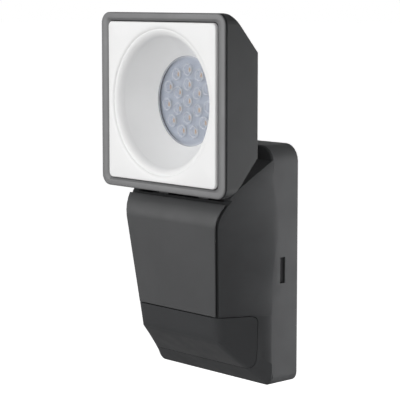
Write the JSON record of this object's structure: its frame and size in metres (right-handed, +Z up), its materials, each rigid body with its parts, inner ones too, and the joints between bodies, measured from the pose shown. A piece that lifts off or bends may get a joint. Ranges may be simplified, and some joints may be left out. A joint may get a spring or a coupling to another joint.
{
  "type": "wall floodlight with motion and camera window",
  "caption": "Wall-mounted outdoor LED floodlight: square tilting head with a round recessed reflector over a tapered column with a dark sensor window, on a latched wall box.",
  "frame": {"origin": "centre of the wall bracket's flat back, where the object touches the wall", "axes": "+Y points into the wall, the light shines towards -Y, +Z is up, +X is to the right of someone facing the light"},
  "size_m": [0.1046, 0.0618, 0.2096],
  "materials": {
    "housing_plastic": "fine moulded texture, satin anthracite",
    "panel_plastic": "smooth satin anthracite",
    "window_plastic": "smooth dark tinted polycarbonate, low gloss",
    "head_metal": "die-cast, textured anthracite powder coat",
    "bezel_metal": "satin grey, soft edges",
    "white_plastic": "white, soft gloss",
    "lens_plastic": "clear moulded lenses over a grey board",
    "led_board": "white solder mask",
    "thermal_pad": "soft grey silicone",
    "hinge_plastic": "glass-filled nylon",
    "hinge_steel": "zinc plated, turned",
    "screw_steel": "stainless",
    "bracket_plastic": "black moulded",
    "rubber": "black EPDM",
    "lead_sheath": "black silicone sheath",
    "terminal_plastic": "natural polyamide",
    "circuit_board": "green solder mask",
    "winding": "taped copper winding",
    "component_black": "black",
    "sensor_can": "bright can",
    "camera_glass": "coated lens"
  },
  "bodies": {
    "wall_unit": {"wall_bracket": "bracket_plastic", "cable_grommet": "rubber", "terminal_block": "terminal_plastic", "terminal_screw_1": "screw_steel", "terminal_screw_2": "screw_steel", "terminal_screw_3": "screw_steel", "body_housing": "housing_plastic", "front_panel": "panel_plastic", "sensor_window": "window_plastic", "cover_seal": "rubber", "electronics_cover": "bracket_plastic", "cover_screw_1": "screw_steel", "cover_screw_2": "screw_steel", "cover_screw_3": "screw_steel", "cover_screw_4": "screw_steel", "driver_board": "circuit_board", "board_screw_1": "screw_steel", "board_screw_2": "screw_steel", "board_screw_3": "screw_steel", "board_screw_4": "screw_steel", "driver_transformer": "winding", "driver_capacitor": "component_black", "driver_choke": "winding", "sensor_header": "component_black", "sensor_board": "circuit_board", "pir_sensor": "sensor_can", "camera_barrel": "component_black", "camera_lens": "camera_glass", "supply_lead": "lead_sheath", "hinge_yoke": "hinge_plastic", "yoke_screw_1": "screw_steel", "yoke_screw_2": "screw_steel", "neck_grommet": "rubber", "friction_washer_1": "hinge_steel", "friction_washer_2": "hinge_steel", "lead_lower": "lead_sheath"},
    "head": {"head_housing": "head_metal", "head_bezel": "bezel_metal", "bezel_seal": "rubber", "reflector": "white_plastic", "lens_plate": "lens_plastic", "led_board": "led_board", "thermal_pad": "thermal_pad", "head_screw_1": "screw_steel", "head_screw_2": "screw_steel", "head_screw_3": "screw_steel", "head_screw_4": "screw_steel", "hinge_tube": "hinge_steel", "hinge_nut": "hinge_steel", "lead_upper": "lead_sheath"}
  },
  "joints": [
    {"name": "head_tilt", "type": "hinge", "parent": "wall_unit", "child": "head", "pos_m": [0, -0.038, 0.048], "axis": [1, 0, 0], "range_deg": [-25, 20]}
  ]
}
